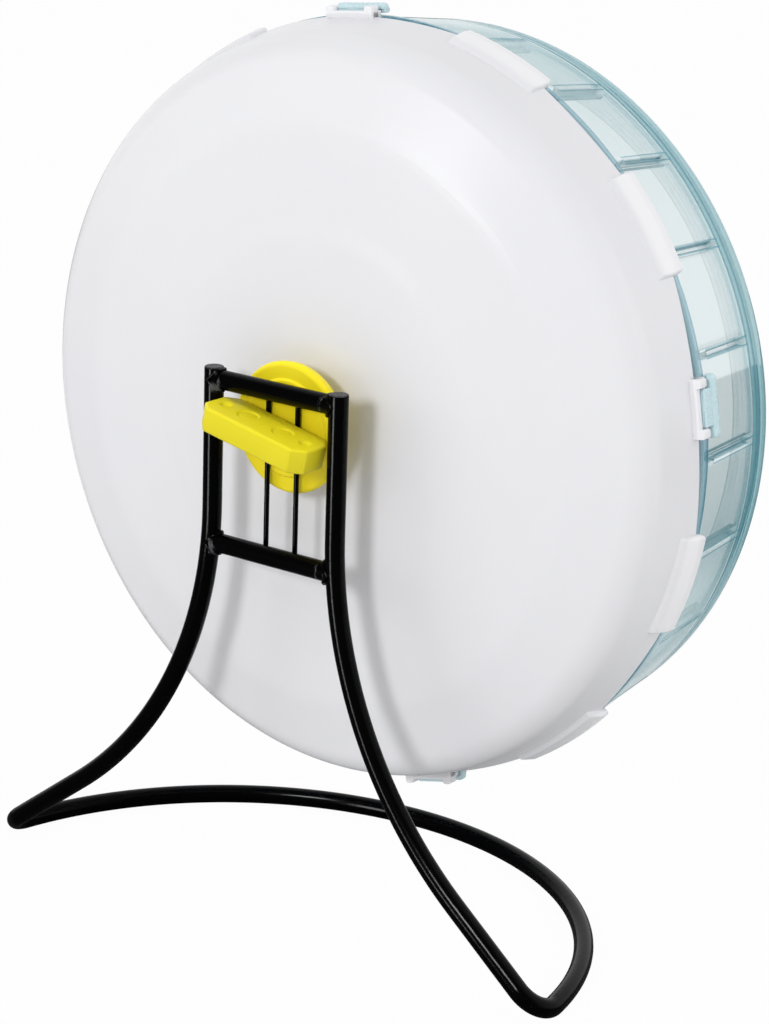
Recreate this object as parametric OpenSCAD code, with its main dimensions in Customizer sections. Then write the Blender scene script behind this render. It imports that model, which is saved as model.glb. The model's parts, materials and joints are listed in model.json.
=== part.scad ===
// Rodent exercise wheel: a dished back shell and a clear track ring, turning on a bolt that is
// clamped across two cage wires of a bent rod stand. +Z is up and the open front faces -Y.
// Depths called "w" run forward (-Y) from the plane of the uprights, so the wheel has w > 0.

/* [Stand] */
// Diameter of the stand's rod and crossbars, coating included
rod_d = 7.5; // [6:0.25:8.5]
// Height of the axle above the floor
axle_h = 196; // [190:1:230]
// Distance between the uprights' centre lines
upright_spacing = 59.4; // [58.5:0.1:70]
// How far the uprights reach above the axle
upright_over = 19.9; // [19.5:0.1:30]
// Top crossbar's centre above the axle
top_bar_up = 15.2; // [15:0.1:18]
// Bottom crossbar's centre below the axle
bottom_bar_down = 48.6; // [40:0.1:60]
// Height at which the straight leg's line meets the upright's line
leg_corner_h = 82; // [70:1:95]
// Bend radius from upright to leg
leg_bend_r = 159; // [120:1:170]
// Radius of the round base, to the rod's centre line
base_r = 134.5; // [130:0.5:150]
// How far the base's centre lies behind the uprights
base_back = 19.5; // [10:0.5:30]
// Half angle of the base arc, measured from its front
base_half_angle = 79; // [70:1:85]
// Straight run lost to the foot bend at each end of the base
foot_run = 13; // [10:0.5:18]
// Depth of the flat that the base stands on
floor_flat = 0.25; // [0.1:0.05:0.5]
// Leg length of the weld beads
weld_leg = 1.3; // [0.8:0.1:2]

/* [Cage wires] */
// Diameter of the thin wires that the clamp grips
wire_d = 2; // [1.5:0.1:2.5]
// Distance between the two wires' centres
wire_pitch = 14; // [12:0.5:20]
// How far the wires run past the crossbars' centres
wire_over = 2; // [1:0.5:4]

/* [Clamp] */
// Length of the clamp bar
bar_len = 50; // [44:0.1:50.4]
// Height of the clamp bar
bar_h = 9.5; // [9:0.1:10]
// Depth of the clamp bar, front to back
bar_depth = 20; // [18:0.5:26]
// Size of the bar's cut corners
bar_corner = 4.5; // [2:0.1:6]
// How far the bar is turned about the axle
bar_turn = 11.4; // [0:0.1:12]
// Diameter of the shallow dimples in the bar's top
dimple_d = 5; // [3:0.5:6]
// Depth of the dimples
dimple_depth = 0.8; // [0.4:0.1:1.2]
// Distance from the bar's middle to its inner dimples
dimple_inner = 8; // [6:0.5:9]
// Distance from the bar's middle to its outer dimples
dimple_outer = 18.5; // [17:0.5:19]
// Gap between the clamp's faces and the wires
clamp_gap = 0.3; // [0.2:0.05:0.6]
// Diameter of the clamp plate
plate_d = 50.4; // [46:0.2:60]
// Thickness of the clamp plate at its rim
plate_t = 6; // [5:0.5:8]
// Diameter of the plate's raised middle
plate_pad_d = 37.4; // [30:0.2:42]
// Height of the plate's raised middle
plate_pad_t = 1.1; // [0.5:0.1:2]
// Width of the plate's bevel, and of its side's taper towards the wheel
plate_bevel = 1.3; // [0.8:0.1:2]
// Diameter of the plate's boss towards the wheel
plate_boss_d = 26; // [20:0.5:32]
// Height of that boss
plate_boss_t = 5; // [3:0.5:7]

/* [Axle bolt] */
// Diameter of the bolt's shank
bolt_d = 7.9; // [7.8:0.01:7.95]
// Diameter of the thread that the shank steps down to
thread_d = 5; // [4:0.5:5]
// How far the bolt reaches behind the uprights
bolt_tail = 13; // [11:0.5:13.5]
// Diameter of the bolt's head
head_d = 13; // [12:0.5:14]
// Height of the bolt's head
head_h = 8; // [6:0.5:8.5]
// Width across flats of the head's socket
socket_af = 6; // [5:1:8]
// Depth of the socket
socket_depth = 4; // [3:0.5:5]
// Diameter of the washer
washer_d = 16; // [15:0.5:17]
// Thickness of the washer
washer_t = 1.6; // [1:0.1:2]
// Width across flats of the moulded-in nut
nut_af = 7.5; // [7:0.5:8]
// Thickness of the nut
nut_t = 4.7; // [4:0.1:5]
// How far behind the uprights the nut starts
nut_back = 3; // [2:0.5:3]
// Gap between faces that turn past each other
face_gap = 0.1; // [0.05:0.01:0.2]
// Outer diameter of the spacer sleeve
spacer_d = 14; // [12:0.5:16]

/* [Bearing] */
// Bore of the bearing
bearing_bore = 8; // [8:1:8]
// Outside diameter of the bearing
bearing_od = 22; // [21:1:23]
// Width of the bearing
bearing_w = 7; // [6:0.5:8]
// Diameter of a ball
ball_d = 3.97; // [3.5:0.01:4.1]
// Number of balls
ball_n = 7; // [6:1:8]
// Radial gap between the two races
race_gap = 2.9; // [2.6:0.1:3.2]
// Clearance round a ball
ball_gap = 0.03; // [0.02:0.01:0.06]
// Thickness of a shield
shield_t = 0.3; // [0.2:0.1:0.5]
// Thickness of the snap ring
snap_t = 1.2; // [1:0.1:1.5]
// Depth of the snap ring's groove
snap_depth = 1; // [0.8:0.1:1.3]

/* [Back shell] */
// Depth at which the shell's flat middle lies
dish_w = 22; // [20:0.5:26]
// Wall thickness of the shell
shell_wall = 2.4; // [2:0.1:3]
// Radius of the flat middle
dish_flat_r = 72; // [60:1:85]
// Height of the faint step round the flat middle
dish_step = 0.8; // [0.4:0.1:1.5]
// Radius at which the gentle cone ends
dish_cone_r = 112; // [100:1:118]
// Rise of the gentle cone
dish_cone_rise = 2.2; // [1:0.1:4]
// Rounding radius of the shoulder
shoulder_r = 14; // [10:0.5:16]
// Depth of the shoulder's centre
shoulder_w = 44.2; // [42:0.1:46]
// Outer radius of the shell at its open rim
rim_r = 147.8; // [144:0.1:160]
// Depth of the open rim
rim_w = 62; // [60:0.5:68]
// Flare of the skirt
skirt_flare = 12; // [8:0.5:14]
// Hole round the spacer sleeve
hub_hole_d = 19; // [18:0.5:20]
// Depth at which the bearing seats
seat_w = 28; // [27:0.5:30]
// Outside diameter of the hub
hub_d = 34; // [30:0.5:40]
// Depth of the hub's front face
hub_front_w = 46.6; // [46.6:0.1:52]
// Number of webs round the hub
web_n = 8; // [4:1:12]
// Thickness of a web
web_t = 2; // [1.5:0.1:3]
// Reach of a web from the axle
web_r = 58; // [40:1:65]

/* [Rim tabs and latches] */
// Turn of the top latch from straight up, towards +X
top_turn = 5.7; // [0:0.1:12]
// Turn of the left latch, the same way
left_turn = 99.6; // [95:0.1:105]
// Turn of the bottom latch
bottom_turn = 193.5; // [188:0.1:198]
// Turn of the right latch
right_turn = 279.7; // [274:0.1:284]
// Angle between a latch and the middle of the tab on each side of it
tab_offset = 26.5; // [25:0.1:28]
// Angle that one tab spans
tab_span = 16; // [14:0.1:18]
// Radial thickness of a tab
tab_t = 2; // [1.5:0.1:3]
// How far a tab starts behind the rim
tab_rear = 7.5; // [6:0.5:10]
// How far a tab overlaps the ring
tab_over = 4.2; // [3:0.1:6]
// Gap between the tabs and the ring's bead
tab_gap = 0.5; // [0.3:0.05:0.8]
// Depth of the hollow in the rim at each latch
crescent_depth = 3; // [2:0.1:3.2]
// Half angle of that hollow
crescent_angle = 18.4; // [16:0.1:18.4]
// Width of the tongue between the posts
tongue_w = 13.8; // [12:0.1:16]
// Thickness of the tongue
tongue_t = 1.7; // [1.4:0.1:2.2]
// Width of one post
post_w = 3.6; // [3:0.1:4.5]
// Height of the posts over the rim's radius
post_over = 3.2; // [2.8:0.1:3.6]
// Gap between a tongue and its posts
tongue_gap = 0.4; // [0.3:0.05:0.6]
// How far the posts start behind the rim
post_back = 6; // [5.5:0.1:7]
// Length of a post's high part along the axle
post_len = 4.5; // [4:0.1:5]
// Length of the bridge between the posts along the axle
bridge_len = 2.4; // [2:0.1:2.5]
// Height of the catch bar over the rim's radius
catch_over = 1.2; // [1:0.1:1.4]
// Thickness of the tongue's hook along the axle
hook_t = 1.7; // [1.4:0.1:1.9]
// How far the hook reaches down behind the catch bar
hook_bite = 1; // [0.8:0.1:1.2]
// Width of the tongue's head
head_w = 23; // [20:0.1:26]
// Length of the tongue's head along the axle
head_len = 3.9; // [3:0.1:4.5]
// Radius of the rounded root about which a tongue flexes
root_r = 0.8; // [0.6:0.1:1]

/* [Track ring] */
// Wall thickness of the ring
ring_wall = 2.2; // [1.8:0.1:2.8]
// Clearance between the ring's spigot and the skirt
spigot_gap = 0.35; // [0.25:0.05:0.6]
// Length of the spigot inside the skirt
spigot_len = 10; // [8:0.5:14]
// Gap between the rim and the ring's bead
bead_gap = 0.4; // [0.3:0.05:0.6]
// Width of the bead
bead_w = 2.4; // [2:0.1:3]
// How far the bead lies inside the rim's radius
bead_drop = 0.3; // [0.2:0.1:0.6]
// How far the ring's band lies inside the bead
band_drop = 0.8; // [0.4:0.1:1.5]
// Draft of the band
band_draft = 6.4; // [3:0.1:8]
// Depth of the step line at the front of the band
step_w = 104; // [100:0.5:108]
// Depth of the grooves along the step line and flange
groove_depth = 0.7; // [0.4:0.1:1]
// Depth of the wheel's front face
front_w = 119.2; // [116:0.1:130]
// Rounding radius of the front edge
front_edge_r = 6.2; // [4:0.1:8]
// Inner radius of the front lip
lip_r = 127; // [115:0.5:132]
// Radius of the rolled edge on the lip
lip_roll_r = 1.8; // [1.4:0.1:2.4]
// Number of ribs in the running track
rib_n = 24; // [12:1:36]
// Turn of the first rib from straight up, towards +X
rib_turn = 1.5; // [-7.5:0.5:7.5]
// Width of a rib
rib_w = 3.4; // [2.6:0.1:5]
// Height of a rib
rib_h = 2.6; // [1.5:0.1:4]
// Width of the slot moulded into each rib from outside
rib_slot_w = 1.5; // [1:0.1:1.8]
// Gap between the bead and the ribs' rear ends
rib_rear_gap = 5.5; // [3:0.5:10]

/* [Hub cap] */
// Diameter of the hub cap
cap_d = 38; // [36:0.5:46]
// Height of the cap's rim
cap_rim_t = 1.6; // [1:0.1:2.5]
// Height of the cap's dome over its rim
cap_dome = 2.6; // [1:0.1:4]
// Length of the cap's spigot
cap_spigot = 2; // [1:0.1:2.5]

/* [Hidden] */
$fn = 96;

black = [0.05, 0.05, 0.055];
yellow = [0.90, 0.86, 0.16];
white = [0.90, 0.90, 0.92];
aqua = [0.62, 0.80, 0.83, 0.6];
steel = [0.70, 0.71, 0.73];

rod_r = rod_d / 2;
wire_r = wire_d / 2;
rod_z = rod_r - floor_flat;
top_bar_z = axle_h + top_bar_up;
bottom_bar_z = axle_h - bottom_bar_down;
joint_gap = 0.1;
collar_half = 0.3;
collar_over = 0.03;
cut = 0.01;

// Depths of the clamp, from the wires that it grips
wire_w = rod_r + wire_r + 0.02;
bar_front_w = wire_w - wire_r - clamp_gap;
bar_back_w = bar_front_w - bar_depth;
plate_pad_w = wire_w + wire_r + clamp_gap;
plate_rim_w = plate_pad_w + plate_pad_t;
plate_back_w = plate_rim_w + plate_t - plate_pad_t;
boss_w = plate_back_w + plate_boss_t;

// The row's origin is under the middle of the whole depth
base_front = base_r - base_back + rod_r;
front_reach = max(front_w, base_front);
stand_y = (front_reach + bar_back_w) / 2;

// Bearing and bolt
pitch_r = (bearing_bore / 2 + bearing_od / 2) / 2;
inner_race_r = pitch_r - race_gap / 2;
outer_race_r = pitch_r + race_gap / 2;
bearing_mid_w = seat_w + bearing_w / 2;
bearing_front_w = seat_w + bearing_w;
seat_gap = 0.03;
seat_r = bearing_od / 2 + seat_gap;
washer_w = bearing_front_w + face_gap;
head_w0 = washer_w + washer_t;
snap_w = bearing_front_w + face_gap;
snap_r = seat_r + snap_depth;
sleeve_gap = 0.1;
plate_bore_gap = 0.15;
thread_w = plate_back_w - 1;
nut_gap = 0.05;

// Shell: the skirt is a cone and the shoulder an arc that meets it
hub_hole_r = hub_hole_d / 2;
hub_r = hub_d / 2;
cone_w = dish_w + dish_step + dish_cone_rise;
function skirt_r(w) = rim_r - (rim_w - w) * tan(skirt_flare);
shoulder_c = [
    skirt_r(shoulder_w - shoulder_r * sin(skirt_flare)) - shoulder_r * cos(skirt_flare),
    shoulder_w
];
cone_to_c = [dish_cone_r, cone_w] - shoulder_c;
shoulder_tilt = -(atan2(cone_to_c.y, cone_to_c.x) + acos(shoulder_r / norm(cone_to_c)));
arc_steps = 10;
function arc_at(c, r, tilt) = c + r * [cos(tilt), -sin(tilt)];
function arc(c, r, from, to, n = arc_steps) =
    [for (i = [0:n]) arc_at(c, r, from + (to - from) * i / n)];

// Ring
bead_w0 = rim_w + bead_gap;
bead_r = rim_r - bead_drop;
band_w0 = bead_w0 + bead_w;
function band_r(w) = bead_r - band_drop - (w - band_w0) * tan(band_draft);
function spigot_r(w) = skirt_r(w) - shell_wall / cos(skirt_flare) - spigot_gap;
front_c = [band_r(front_w - front_edge_r) - front_edge_r, front_w - front_edge_r];
rib_w0 = band_w0 + rib_rear_gap;
rib_w1 = step_w + 2;

// Latches
latch_turns = [top_turn, left_turn, bottom_turn, right_turn];
tab_in = bead_r + tab_gap;
tab_out = tab_in + tab_t;
post_out = rim_r + post_over;
post_w0 = rim_w - post_back;
post_w1 = rim_w + 0.2;
bridge_w1 = post_w0 + bridge_len;
hook_w0 = bridge_w1 + tongue_gap;
hook_w1 = hook_w0 + hook_t;
catch_w0 = hook_w1 + 0.3;
catch_out = rim_r + catch_over;
tongue_in = catch_out + 0.3;
tongue_out = tongue_in + tongue_t;
clip_head_w0 = post_w1 + 0.7;
clip_head_w1 = clip_head_w0 + head_len;
clip_head_in = bead_r + 0.3;

// Depths in wheel modules run along local +z, local y is up
module at_axle() {
    translate([0, stand_y, axle_h])
        rotate([90, 0, 0])
            children();
}

module tube(w0, w1, r_out, r_in) {
    translate([0, 0, w0])
        difference() {
            cylinder(h = w1 - w0, r = r_out);
            translate([0, 0, -1])
                cylinder(h = w1 - w0 + 2, r = r_in);
        }
}

module hex_prism(w0, w1, af) {
    translate([0, 0, w0])
        cylinder(h = w1 - w0, r = af / 2 / cos(30), $fn = 6);
}

module turned(profile) {
    rotate_extrude()
        polygon(profile);
}

// A flat plate whose outline is given as [radius, depth], standing on the local y axis
module radial_plate(outline, thickness) {
    translate([-thickness / 2, 0, 0])
        rotate([90, 0, 90])
            linear_extrude(thickness)
                polygon(outline);
}

// Bent rod: tangent runs and arcs in space. A bend stops a hair short of its neighbours, and
// a short collar, a hair wider than the rod, joins them.
function unit(v) = v / norm(v);
function angles_of(ex, ey, ez) =
    [atan2(ey.z, ez.z), asin(-ex.z), atan2(ex.y, ex.x)];
function bend_run(r, a, b) = r / tan(acos(a * b) / 2);

module rod_run(from, to, r) {
    d = to - from;
    translate(from)
        rotate([0, acos(d.z / norm(d)), atan2(d.y, d.x)])
            cylinder(h = norm(d), r = r);
}

// Arc of radius bend_r between two runs that leave the corner along the unit vectors a and b
module rod_bend(corner, a, b, bend_r, r) {
    half = acos(a * b) / 2;
    from = corner + a * bend_run(bend_r, a, b);
    to = corner + b * bend_run(bend_r, a, b);
    centre = corner + unit(a + b) * bend_r / sin(half);
    ex = unit(from - centre);
    ez = unit(cross(ex, to - centre));
    trim = asin(joint_gap / bend_r);
    translate(centre)
        rotate(angles_of(ex, cross(ez, ex), ez))
            rotate([0, 0, trim])
                rotate_extrude(angle = 180 - 2 * half - 2 * trim, $fn = 180)
                    translate([bend_r, 0])
                        circle(r = r);
    rod_run(from - a * collar_half, from + a * collar_half, r + collar_over);
    rod_run(to - b * collar_half, to + b * collar_half, r + collar_over);
}

upright_x = upright_spacing / 2;
up = [0, 0, 1];
base_end = [base_r * sin(base_half_angle), base_back - base_r * cos(base_half_angle), rod_z];
base_dir = [cos(base_half_angle), sin(base_half_angle), 0];
foot_corner = base_end + foot_run * base_dir;
leg_corner = [upright_x, 0, leg_corner_h];
leg_dir = unit(leg_corner - foot_corner);
leg_run = bend_run(leg_bend_r, up, -leg_dir);
foot_bend_r = foot_run * tan(acos(-base_dir * leg_dir) / 2);

// Both uprights with their upper bends, at any radius
module uprights(r = rod_r) {
    translate([0, stand_y, 0])
        for (side = [0, 1])
            mirror([side, 0, 0]) {
                rod_run(leg_corner + up * leg_run, [upright_x, 0, axle_h + upright_over], r);
                rod_bend(leg_corner, up, -leg_dir, leg_bend_r, r);
            }
}

module legs() {
    translate([0, stand_y, 0])
        for (side = [0, 1])
            mirror([side, 0, 0]) {
                rod_run(foot_corner + leg_dir * foot_run, leg_corner - leg_dir * leg_run, rod_r);
                rod_bend(foot_corner, leg_dir, -base_dir, foot_bend_r, rod_r);
            }
}

module base_arc() {
    translate([0, stand_y + base_back, rod_z])
        rotate([0, 0, -90 - base_half_angle])
            rotate_extrude(angle = 2 * base_half_angle, $fn = 180)
                translate([base_r, 0])
                    circle(r = rod_r);
}

module stand_rod() {
    color(black)
        difference() {
            union() {
                uprights();
                legs();
                base_arc();
            }
            translate([-2 * base_r, -2 * base_r, -rod_d])
                cube([4 * base_r, 4 * base_r, rod_d]);
        }
}

module bar_stock(z, r = rod_r) {
    translate([-upright_x, stand_y, z])
        rotate([0, 90, 0])
            cylinder(h = upright_spacing, r = r);
}

module crossbar(z) {
    color(black)
        difference() {
            bar_stock(z);
            uprights();
        }
}

module top_crossbar() {
    crossbar(top_bar_z);
}

module bottom_crossbar() {
    crossbar(bottom_bar_z);
}

module cage_wire(x) {
    color(black)
        translate([x, stand_y - wire_w, bottom_bar_z - wire_over])
            cylinder(h = top_bar_z - bottom_bar_z + 2 * wire_over, r = wire_r);
}

module left_cage_wire() {
    cage_wire(wire_pitch / 2);
}

module right_cage_wire() {
    cage_wire(-wire_pitch / 2);
}

// A saddle of weld round each crossbar's end, and a drop on each side of each wire
module weld_beads() {
    drop_r = 0.7 * weld_leg;
    color(black) {
        for (z = [top_bar_z, bottom_bar_z])
            difference() {
                intersection() {
                    bar_stock(z, rod_r + weld_leg);
                    uprights(rod_r + weld_leg);
                }
                bar_stock(z);
                uprights();
            }
        difference() {
            for (z = [top_bar_z, bottom_bar_z], wire = [-1, 1], side = [-1, 1])
                translate([wire * wire_pitch / 2 + side * (wire_r + 0.1), stand_y - rod_r - 0.35, z])
                    sphere(r = drop_r);
            for (z = [top_bar_z, bottom_bar_z])
                bar_stock(z);
            left_cage_wire();
            right_cage_wire();
        }
    }
}

module clamp_plate() {
    r = plate_d / 2;
    profile = [
        [thread_d / 2 + plate_bore_gap, plate_pad_w],
        [plate_pad_d / 2 - plate_pad_t / 2, plate_pad_w],
        [plate_pad_d / 2, plate_rim_w],
        [r - plate_bevel, plate_rim_w],
        [r, plate_rim_w + plate_bevel],
        [r - plate_bevel, plate_back_w],
        [plate_boss_d / 2, plate_back_w],
        [plate_boss_d / 2, boss_w],
        [bolt_d / 2 + plate_bore_gap, boss_w],
        [bolt_d / 2 + plate_bore_gap, thread_w - plate_bore_gap],
        [thread_d / 2 + plate_bore_gap, thread_w - plate_bore_gap]
    ];
    color(yellow)
        at_axle()
            turned(profile);
}

module clamp_bar() {
    half = bar_len / 2;
    outline = [
        [half - bar_corner, bar_front_w],
        [half, bar_front_w - bar_corner],
        [half, bar_back_w + bar_corner],
        [half - bar_corner, bar_back_w],
        [bar_corner - half, bar_back_w],
        [-half, bar_back_w + bar_corner],
        [-half, bar_front_w - bar_corner],
        [bar_corner - half, bar_front_w]
    ];
    bore_end = -bolt_tail - 1.5;
    color(yellow)
        at_axle()
            rotate([0, 0, bar_turn])
                difference() {
                    translate([0, bar_h / 2, 0])
                        rotate([90, 0, 0])
                            linear_extrude(bar_h)
                                polygon(outline);
                    translate([0, 0, bore_end])
                        cylinder(h = bar_depth + bolt_tail, r = thread_d / 2 + plate_bore_gap);
                    hex_prism(-nut_back - nut_t - nut_gap, -nut_back + nut_gap, nut_af + 2 * nut_gap);
                    for (x = [-dimple_outer, -dimple_inner, dimple_inner, dimple_outer])
                        translate([x, bar_h / 2 - dimple_depth, (bar_front_w + bar_back_w) / 2])
                            rotate([-90, 0, 0])
                                cylinder(h = 2 * dimple_depth, d1 = dimple_d - 1, d2 = dimple_d + 1);
                }
}

module clamp_nut() {
    color(steel)
        at_axle()
            rotate([0, 0, bar_turn])
                difference() {
                    hex_prism(-nut_back - nut_t, -nut_back, nut_af);
                    translate([0, 0, -nut_back - nut_t - 1])
                        cylinder(h = nut_t + 2, r = thread_d / 2 + nut_gap);
                }
}

module axle_bolt() {
    tip_bevel = 0.8;
    head_w1 = head_w0 + head_h;
    profile = [
        [0, -bolt_tail],
        [thread_d / 2 - tip_bevel, -bolt_tail],
        [thread_d / 2, -bolt_tail + tip_bevel],
        [thread_d / 2, thread_w],
        [bolt_d / 2, thread_w],
        [bolt_d / 2, head_w0],
        [head_d / 2, head_w0],
        [head_d / 2, head_w1],
        [0, head_w1]
    ];
    color(steel)
        at_axle()
            difference() {
                turned(profile);
                hex_prism(head_w1 - socket_depth, head_w1 + 1, socket_af);
            }
}

module axle_washer() {
    color(steel)
        at_axle()
            tube(washer_w, head_w0, washer_d / 2, bolt_d / 2 + sleeve_gap);
}

module spacer_sleeve() {
    color(steel)
        at_axle()
            tube(boss_w, seat_w, spacer_d / 2, bolt_d / 2 + sleeve_gap);
}

module ball_track() {
    translate([0, 0, bearing_mid_w])
        rotate_extrude()
            translate([pitch_r, 0])
                circle(r = ball_d / 2 + ball_gap, $fn = 48);
}

module bearing_inner_ring() {
    color(steel)
        at_axle()
            difference() {
                tube(seat_w, bearing_front_w, inner_race_r, bearing_bore / 2);
                ball_track();
            }
}

module bearing_outer_ring() {
    color(steel)
        at_axle()
            difference() {
                tube(seat_w, bearing_front_w, bearing_od / 2, outer_race_r);
                ball_track();
            }
}

module ball_places() {
    for (i = [0:ball_n - 1])
        rotate([0, 0, 360 * i / ball_n])
            translate([pitch_r, 0, bearing_mid_w])
                children();
}

module bearing_balls() {
    color(steel)
        at_axle()
            ball_places()
                sphere(r = ball_d / 2, $fn = 48);
}

module ball_cage() {
    wall = race_gap * 0.55;
    color(steel)
        at_axle()
            difference() {
                tube(bearing_mid_w - 1.9, bearing_mid_w + 1.1, pitch_r + wall / 2, pitch_r - wall / 2);
                ball_places()
                    sphere(r = ball_d / 2 + 2 * ball_gap, $fn = 48);
            }
}

module bearing_shields() {
    color(steel)
        at_axle()
            for (w = [seat_w + shield_t / 2, bearing_front_w - 1.5 * shield_t])
                tube(w, w + shield_t, outer_race_r - seat_gap, inner_race_r + 0.3);
}

module bearing_retainer() {
    ear_gap = 5;
    color(steel)
        at_axle()
            difference() {
                tube(snap_w, snap_w + snap_t, snap_r - seat_gap, seat_r - 1.6);
                translate([-ear_gap / 2, 0, snap_w - 1])
                    cube([ear_gap, snap_r + 1, snap_t + 2]);
            }
}

module shell_body() {
    inner_rim_r = rim_r - shell_wall / cos(skirt_flare);
    edge = 1;
    profile = concat(
        [
            [hub_hole_r, dish_w],
            [dish_flat_r, dish_w],
            [dish_flat_r + 2, dish_w + dish_step],
            [dish_cone_r, cone_w]
        ],
        arc(shoulder_c, shoulder_r, shoulder_tilt, skirt_flare),
        [
            [rim_r, rim_w],
            [inner_rim_r, rim_w]
        ],
        arc(shoulder_c, shoulder_r - shell_wall, skirt_flare, shoulder_tilt),
        [
            [dish_cone_r, cone_w + shell_wall],
            [dish_flat_r + 2, dish_w + dish_step + shell_wall],
            [dish_flat_r, dish_w + shell_wall],
            [hub_r, dish_w + shell_wall],
            [hub_r, hub_front_w - edge],
            [hub_r - edge, hub_front_w],
            [seat_r, hub_front_w],
            [seat_r, snap_w + snap_t + seat_gap],
            [snap_r, snap_w + snap_t + seat_gap],
            [snap_r, snap_w - seat_gap],
            [seat_r, snap_w - seat_gap],
            [seat_r, seat_w],
            [hub_hole_r, seat_w]
        ]
    );
    turned(profile);
}

// Cutter that hollows the rim's edge: a large drum lying across it
module crescent(depth, half_angle) {
    chord = rim_r * sin(half_angle);
    drum_r = (chord * chord + depth * depth) / (2 * depth);
    translate([0, rim_r - 25, rim_w - depth + drum_r])
        rotate([-90, 0, 0])
            cylinder(h = 50, r = drum_r, $fn = 360);
}

module hub_web() {
    foot = dish_w + shell_wall - 0.5;
    outline = [
        [hub_r - 1, foot],
        [web_r, foot],
        [web_r, foot + 3],
        [hub_r - 1, hub_front_w - 4]
    ];
    radial_plate(outline, web_t);
}

module rim_tab() {
    rear = rim_w - tab_rear;
    round_step = tab_t / 3;
    profile = [
        [skirt_r(rear) - 1, rear],
        [skirt_r(rear) + 0.5, rear],
        [skirt_r(rear) + 1.5, rear + 1.4],
        [tab_out - 0.3, rim_w - 2],
        [tab_out, rim_w],
        [tab_out, rim_w + tab_over - round_step],
        [tab_out - round_step, rim_w + tab_over],
        [tab_in, rim_w + tab_over],
        [tab_in, rim_w - cut],
        [rim_r - 1, rim_w - cut]
    ];
    rotate([0, 0, 90 - tab_span / 2])
        rotate_extrude(angle = tab_span, $fn = 180)
            polygon(profile);
}

// A block between two depths and two heights, centred across, with rounded outer corners
module rounded_block(x, width, w0, w1, r_in, r_out, round_r) {
    half = width / 2;
    outline = concat(
        [[half, r_in]],
        [for (a = [0:15:90]) [half - round_r + round_r * cos(a), r_out - round_r + round_r * sin(a)]],
        [for (a = [90:15:180]) [round_r - half + round_r * cos(a), r_out - round_r + round_r * sin(a)]],
        [[-half, r_in]]
    );
    translate([x, 0, w0])
        linear_extrude(w1 - w0)
            polygon(outline);
}

module latch_posts() {
    foot_r = skirt_r(post_w0) - shell_wall / 2;
    post_x = tongue_w / 2 + tongue_gap + post_w / 2;
    for (side = [-1, 1]) {
        rounded_block(side * post_x, post_w, post_w0, post_w0 + post_len, foot_r, post_out, 0.9);
        rounded_block(side * post_x, post_w, post_w0 + 1, post_w1, foot_r, catch_out, 0.3);
    }
    bridge = tongue_w + 2 * tongue_gap + 1;
    rounded_block(0, bridge, post_w0, bridge_w1, foot_r, post_out - 1.8, 0.3);
    rounded_block(0, bridge, catch_w0, post_w1, foot_r, catch_out, 0.3);
}

module round_rim() {
    for (turn = latch_turns)
        rotate([0, 0, -turn])
            children();
}

// Shallow hollows between the tabs of neighbouring latches
module shallow_hollows() {
    next_turns = [left_turn, bottom_turn, right_turn, top_turn + 360];
    for (k = [0:len(latch_turns) - 1]) {
        half_step = (next_turns[k] - latch_turns[k]) / 2;
        rotate([0, 0, -latch_turns[k] - half_step])
            crescent(crescent_depth / 3, half_step - tab_offset - tab_span / 2);
    }
}

module back_shell() {
    color(white)
        at_axle() {
            difference() {
                shell_body();
                round_rim()
                    crescent(crescent_depth, crescent_angle);
                shallow_hollows();
            }
            round_rim() {
                latch_posts();
                for (side = [-1, 1])
                    rotate([0, 0, side * tab_offset])
                        rim_tab();
            }
            for (i = [0:web_n - 1])
                rotate([0, 0, 360 * i / web_n])
                    hub_web();
        }
}

module ring_body() {
    front_in = front_w - ring_wall;
    edge_in = front_edge_r - ring_wall;
    spigot_w = rim_w - spigot_len;
    stripe = [for (w = [step_w, step_w + 3.6, step_w + 6.4]) each [
        [band_r(w), w],
        [band_r(w) - groove_depth, w + 0.3],
        [band_r(w) - groove_depth, w + 0.9],
        [band_r(w + 1.2), w + 1.2]
    ]];
    profile = concat(
        [
            [spigot_r(spigot_w), spigot_w],
            [spigot_r(bead_w0), bead_w0],
            [bead_r, bead_w0],
            [bead_r, band_w0],
            [band_r(band_w0), band_w0]
        ],
        stripe,
        arc(front_c, front_edge_r, -band_draft, -90),
        [
            [lip_r, front_w],
            [lip_r, front_in]
        ],
        arc(front_c, edge_in, -90, -band_draft),
        [
            [band_r(band_w0) - ring_wall, band_w0],
            [spigot_r(spigot_w) - ring_wall, spigot_w]
        ]
    );
    turned(profile);
    translate([0, 0, front_w - ring_wall / 2])
        rotate_extrude()
            translate([lip_r, 0])
                circle(r = lip_roll_r, $fn = 32);
}

module rib() {
    outline = [
        [band_r(rib_w0) - ring_wall + 0.5, rib_w0],
        [band_r(rib_w1) - ring_wall + 0.5, rib_w1],
        [band_r(rib_w1) - ring_wall - rib_h, rib_w1],
        [band_r(rib_w0) - ring_wall - rib_h, rib_w0 + rib_h / 2]
    ];
    radial_plate(outline, rib_w);
}

module rib_slot() {
    floor_t = 1;
    outline = [
        [band_r(rib_w0) + 1, rib_w0 + 1],
        [band_r(step_w) + 1, step_w - 1],
        [band_r(step_w) - ring_wall - rib_h + floor_t, step_w - 1],
        [band_r(rib_w0) - ring_wall - rib_h + floor_t, rib_w0 + 1 + rib_h / 2]
    ];
    radial_plate(outline, rib_slot_w);
}

module around_track() {
    for (i = [0:rib_n - 1])
        rotate([0, 0, -rib_turn - i * 360 / rib_n])
            children();
}

module track_ring() {
    color(aqua)
        at_axle()
            difference() {
                union() {
                    ring_body();
                    around_track()
                        rib();
                }
                around_track()
                    rib_slot();
            }
}

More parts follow.
